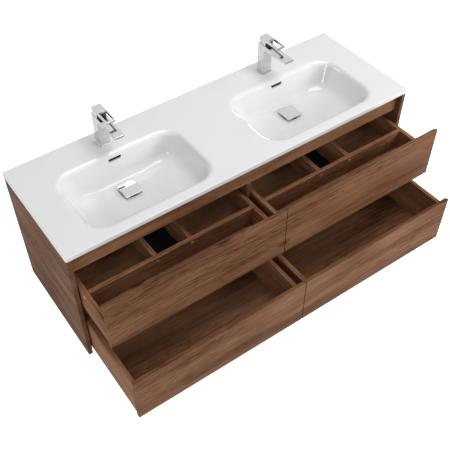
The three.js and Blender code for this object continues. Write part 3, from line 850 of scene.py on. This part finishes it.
def wasteParts(side):
    # The square cap on its plug, the flanged tube with the click cylinder on four arms, the nut.
    capNode, bodyNode, nutNode = (f"waste_{k}_{side}" for k in ("cap", "body", "nut"))
    low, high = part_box(capNode)
    x, y, _ = middle(capNode)
    plateFoot = high.z - waste["capPlate"]
    plate = carriedShell(rectangle((low.x, high.x), (low.y, high.y)), 2, plateFoot, high.z,
                         waste["capEdge"], radii=waste["capCorner"], steps=4)
    thin, wide = waste["rodRadius"], waste["plugRadius"]
    plug = [(0, low.z), (thin, low.z), (thin, plateFoot - 0.005), (wide, plateFoot - 0.002),
            (wide, plateFoot + 0.001), (0, plateFoot + 0.001)]
    standsFor(joinedShells(f"{capNode}_plate", plate, turnedShell(plug, (x, y, 0), 0.0004)),
              capNode, chrome, "chrome")

    low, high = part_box(bodyNode)
    seat = high.z - waste["flangeHeight"]
    ring = [(waste["bore"], low.z), (waste["tail"], low.z), (waste["tail"], seat + 0.0003),
            (waste["flange"], seat + 0.0003), (waste["flange"], high.z),
            (waste["flangeTop"], high.z), (waste["bore"], seat - 0.002)]
    cylinder = rectangle((waste["cylinderHole"], waste["cylinderRadius"]),
                         (seat - waste["cylinderFoot"], seat - waste["cylinderTop"]))
    shells = [turnedShell(ring, (x, y, 0), 0.0006, waste["segments"]),
              turnedShell(cylinder, (x, y, 0), 0.0004)]
    inner, outer = waste["armInner"], waste["bore"] + 0.001
    width = (-waste["armHalf"], waste["armHalf"])
    for spanX, spanY in (((inner, outer), width), ((-outer, -inner), width),
                         (width, (inner, outer)), (width, (-outer, -inner))):
        arm = rectangle([x + v for v in spanX], [y + v for v in spanY])
        shells.append(carriedShell(arm, 2, seat - waste["armFoot"], seat - waste["armTop"],
                                   0.0004))
    # The flanged tube takes the darker chrome copy, painted shade under the cap.
    standsFor(joinedShells(f"{bodyNode}_flanged", *shells), bodyNode, chromePaintedShade, "chrome")

    low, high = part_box(nutNode)
    turns = np.linspace(0, 2 * math.pi, 6, endpoint=False)
    radius = max(high.x - low.x, high.y - low.y) / 2
    hexagon = np.column_stack([x + radius * np.cos(turns), y + radius * np.sin(turns)])
    nut = joinedShells(f"{nutNode}_hexagon", carriedShell(hexagon, 2, low.z, high.z, 0.001))
    hole = disc(waste["tail"] + 0.0003, low.z - 0.002, high.z + 0.002)
    cutAway(nut, joinedShells("nutCutter", turnedShell(hole, (x, y, 0), 0.0001, 64)))
    standsFor(nut, nutNode, plastic, "plastic")


for side in sides:
    wasteParts(side)
print("wastes built")


# ---- runners, hangers and screws ----
rail = dict(sheet=0.0016, lip=0.020, rise=0.014, inside=0.0008, outside=0.0022, end=0.0004,
            screwShares=(0.12, 0.5, 0.88), screwDrop=0.014,
            screwHead=((0, 0), (0.004, 0), (0.0028, 0.0016), (0, 0.0019)))
member = dict(sheet=0.0012, inner=0.0242, outer=0.0478, skirt=0.009, gap=0.0002, endGap=0.004)


def runnerRail(name, wallSide):
    # The folded sheet of the cabinet rail: up the wall, under the drawer's side, and up again
    # to a flange that carries the drawer.
    low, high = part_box(name)
    s = rail["sheet"]
    wall = low.x if wallSide > 0 else high.x

    def at(u):
        return wall + wallSide * u
    reach = high.x - low.x
    lip = reach - rail["lip"]
    foot = low.z
    carry = foot + s + rail["rise"]
    profile = [(at(0), foot), (at(reach), foot), (at(reach), carry), (at(lip), carry),
               (at(lip), carry - s), (at(reach - s), carry - s), (at(reach - s), foot + s),
               (at(s), foot + s), (at(s), high.z), (at(0), high.z)]
    radii = [rail[k] for k in ["outside"] * 3 + ["end"] * 2 + ["inside"] * 3 + ["end"] * 2]
    if wallSide < 0:
        profile, radii = profile[::-1], radii[::-1]
    shells = [carriedShell(profile, 1, low.y, high.y, 0.0003, radii=radii)]
    for share in rail["screwShares"]:
        y = low.y + share * (high.y - low.y)
        points, faces, normals = turnedShell(rail["screwHead"], (0, 0, 0), 0.0003, 20)
        points = np.column_stack([at(s) + wallSide * points[:, 2], y + points[:, 1],
                                  high.z - rail["screwDrop"] + points[:, 0]])
        normals = np.column_stack([wallSide * normals[:, 2], normals[:, 1], normals[:, 0]])
        if wallSide > 0:
            faces = [f[::-1] for f in faces]
        shells.append((points, faces, normals))
    standsFor(joinedShells(f"{name}_folded", *shells), name, steel, "steel")


def drawerMember(drawer, name, wallSide):
    # The channel under the drawer's bottom that slides over the rail's flange.
    low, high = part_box(name)
    boxLow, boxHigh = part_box(f"{drawer}_bottom")
    s = member["sheet"]
    wall = low.x if wallSide > 0 else high.x
    top = boxLow.z - member["gap"]
    lip = top - member["skirt"]
    spanX = sorted(wall + wallSide * member[k] for k in ("inner", "outer"))
    profile = [(spanX[0], lip), (spanX[0] + s, lip), (spanX[0] + s, top - s),
               (spanX[1] - s, top - s), (spanX[1] - s, lip), (spanX[1], lip),
               (spanX[1], top), (spanX[0], top)]
    radii = [0.0003, 0.0003, 0.0005, 0.0005, 0.0003, 0.0003, 0.0016, 0.0016]
    piece = joinedShells(f"{name}_member", carriedShell(
        profile, 1, boxLow.y + member["endGap"], boxHigh.y - member["endGap"], 0.0003,
        radii=radii))
    finished(piece, bodyOf[f"{drawer}_bottom"], steel, "steel")


hook = dict(railGap=0.002, drop=0.008, thickness=0.008, lipDepth=0.004, lipHeight=0.020,
            screwHeights=(0.016, 0.040), screwRadius=0.0045)


def hanger(side):
    # A housing in front of the back rail, and a hook over the rail's notch to the wall.
    node = f"wall_hanger_{side}"
    low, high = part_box(node)
    railBack = -boards["thickness"] - hook["railGap"]
    top = high.z - hook["drop"]
    foot, lip, lipFront = top - hook["thickness"], top - hook["lipHeight"], -hook["lipDepth"]
    profile = [(low.y, low.z), (railBack, low.z), (railBack, foot), (lipFront, foot),
               (lipFront, lip), (high.y, lip), (high.y, top), (railBack, top),
               (railBack, high.z), (low.y, high.z)]
    shells = [carriedShell(profile, 0, low.x, high.x, 0.0006)]
    x = (low.x + high.x) / 2
    screw = disc(hook["screwRadius"], low.y - 0.0012, low.y + 0.002)
    for height in hook["screwHeights"]:
        shells.append(turnedShell(screw, (x, 0, low.z + height), 0.0005, 24, axis=1))
    standsFor(joinedShells(f"{node}_housing", *shells), node, steel, "steel")


screwCap = dict(radius=0.0062, rise=0.0009, sink=0.0015, height=-0.102)


def capShell(axis, place, facing):
    # A low dome on a face: flat disc with a rounded rim, its rise towards facing.
    r, rise, sink = screwCap["radius"], screwCap["rise"], screwCap["sink"]
    ends = (place[axis] - facing * sink, place[axis] + facing * rise)
    profile = disc(r, min(ends), max(ends))
    centre = [0 if k == axis else place[k] for k in range(3)]
    return turnedShell(profile, centre, 0.0007, 32, axis=axis)


def sideways(shell):
    # Turns a shell made about Y into one about X.
    points, faces, normals = shell
    return points[:, [1, 0, 2]], [f[::-1] for f in faces], normals[:, [1, 0, 2]]


def screwCaps(drawer):
    crossLow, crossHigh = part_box(f"{drawer}_cross_panel")
    crossMiddle = (crossLow.y + crossHigh.y) / 2
    z = screwCap["height"]
    shells = [capShell(1, (middle(f"{drawer}_divider_{end}").x, crossLow.y, z), -1)
              for end in sides]
    for end, s in sides.items():
        outer = span(f"{drawer}_side_{end}", 0)[0 if s < 0 else 1]
        shells.append(sideways(capShell(1, (crossMiddle, outer, z), s)))
    finished(joinedShells(f"{drawer}_screw_caps", *shells), bodyOf[f"{drawer}_cross_panel"],
             brass, "steel")


for row in ("upper", "lower"):
    for side in sides:
        for end, s in (("left", 1), ("right", -1)):
            runnerRail(f"{row}_{side}_runner_{end}", s)
            drawerMember(f"{row}_{side}_drawer", f"{row}_{side}_runner_{end}", s)
for side in sides:
    hanger(side)
    screwCaps(f"upper_{side}_drawer")
print("runners, hangers and caps built")


# ---- studio ----
studio = dict(
    floorHeight=-0.80, floorHalf=30.0, floorGlow=1.0, floorFill=0.30,
    worldLow=(0.42, 0.42, 0.43),
    worldHigh=(0.85, 0.86, 0.88), worldStrength=0.45,
    mirrorHorizon=(0.03, 0.03, 0.032), mirrorSky=(0.86, 0.86, 0.87))


def buildFloor():
    h, z = studio["floorHalf"], studio["floorHeight"]
    u = np.linspace(-h, h, 3)
    grid = np.stack(np.meshgrid(u, u, [z], indexing="ij"), -1).reshape(-1, 3)
    i, j = np.meshgrid(np.arange(2), np.arange(2), indexing="ij")
    faces = np.stack([i * 3 + j, i * 3 + 3 + j, i * 3 + 4 + j, i * 3 + 1 + j], -1)
    floor = newPiece("floor", grid, [tuple(f) for f in faces.reshape(-1, 4).tolist()])
    material = bpy.data.materials.new("paleFloor")
    material.use_nodes = True
    shader = material.node_tree.nodes["Principled BSDF"]
    shader.inputs["Base Color"].default_value = (0.86, 0.86, 0.86, 1)
    shader.inputs["Roughness"].default_value = 0.9
    shader.inputs["Specular IOR Level"].default_value = 0.1
    shader.inputs["Emission Color"].default_value = (1, 1, 1, 1)
    seen = newNode(material.node_tree, "ShaderNodeLightPath").outputs["Is Camera Ray"]
    glow = between(material.node_tree, seen, 0.0, 1.0, studio["floorFill"], studio["floorGlow"])
    material.node_tree.links.new(glow, shader.inputs["Emission Strength"])
    floor.data.materials.append(material)


def softbox(name, place, target, size, watts, mirrored=True):
    light = bpy.data.lights.new(name, "AREA")
    light.shape, light.size, light.size_y = "RECTANGLE", *size
    light.energy = watts
    holder = bpy.data.objects.new(name, light)
    bpy.context.scene.collection.objects.link(holder)
    holder.location = place
    holder.visible_glossy = mirrored
    holder.rotation_euler = (Vector(target) - Vector(place)).to_track_quat("-Z", "Y").to_euler()


def buildWorld():
    world = bpy.data.worlds.new("studioSky")
    bpy.context.scene.world = world
    world.use_nodes = True
    tree = world.node_tree
    background = tree.nodes["Background"]
    place = newNode(tree, "ShaderNodeTexCoord").outputs["Generated"]
    height = newNode(tree, "ShaderNodeSeparateXYZ", {0: place}).outputs[2]
    shade = ramp(tree, height, [(0.0, studio["worldLow"]), (0.8, studio["worldHigh"])])
    tree.links.new(shade, background.inputs["Color"])
    background.inputs["Strength"].default_value = studio["worldStrength"]
    # Metal and glaze mirror a dark horizon and a bright ceiling, as in a studio tent.
    mirrored = ramp(tree, height, [(0.0, studio["mirrorHorizon"]), (0.16, studio["mirrorHorizon"]),
                                   (0.42, studio["mirrorSky"])])
    tent = newNode(tree, "ShaderNodeBackground", {"Color": mirrored, "Strength": 1.0})
    glossy = newNode(tree, "ShaderNodeLightPath").outputs["Is Glossy Ray"]
    seen = newNode(tree, "ShaderNodeLightPath").outputs["Is Camera Ray"]
    paper = newNode(tree, "ShaderNodeBackground", {"Color": (1, 1, 1, 1), "Strength": 1.0})
    under = background.outputs[0]
    for chooser, over in ((glossy, tent.outputs[0]), (seen, paper.outputs[0])):
        both = newNode(tree, "ShaderNodeMixShader", {0: chooser, 1: under, 2: over})
        under = both.outputs[0]
    tree.links.new(under, tree.nodes["World Output"].inputs["Surface"])


def buildCamera():
    view = dict(place=(-1.107, -1.844, 1.698), azimuth=31.65, elevation=47.36, roll=-2.87,
                lens=57.74, shift=0.075)
    a, e, r = (math.radians(view[k]) for k in ("azimuth", "elevation", "roll"))
    ahead = Vector((math.sin(a) * math.cos(e), math.cos(a) * math.cos(e), -math.sin(e)))
    right = Vector((math.cos(a), -math.sin(a), 0))
    up = right.cross(ahead)
    across = right * math.cos(r) + up * math.sin(r)
    upright = up * math.cos(r) - right * math.sin(r)
    data = bpy.data.cameras.new("camera")
    data.lens, data.sensor_width, data.shift_x = view["lens"], 36, view["shift"]
    holder = bpy.data.objects.new("camera", data)
    bpy.context.scene.collection.objects.link(holder)
    turn = Matrix((across, upright, -ahead)).transposed()
    holder.matrix_world = Matrix.Translation(view["place"]) @ turn.to_4x4()
    bpy.context.scene.camera = holder


buildFloor()
buildWorld()
aim = (0, -0.4, -0.1)
softbox("frontSoftbox", (2.4, -3.0, 1.3), aim, (2.6, 1.4), 92, mirrored=False)
softbox("topSoftbox", (0.6, -0.6, 3.8), aim, (2.4, 2.4), 74)
softbox("leftFill", (-3.2, -1.4, 0.6), aim, (1.6, 1.4), 12, mirrored=False)
softbox("leftStrip", (-2.6, -1.5, 1.0), aim, (0.22, 1.2), 9)
softbox("rightStrip", (2.8, 2.0, 0.9), aim, (0.5, 0.9), 11)
buildCamera()
bpy.context.scene.view_settings.view_transform = "Standard"
print("studio built")
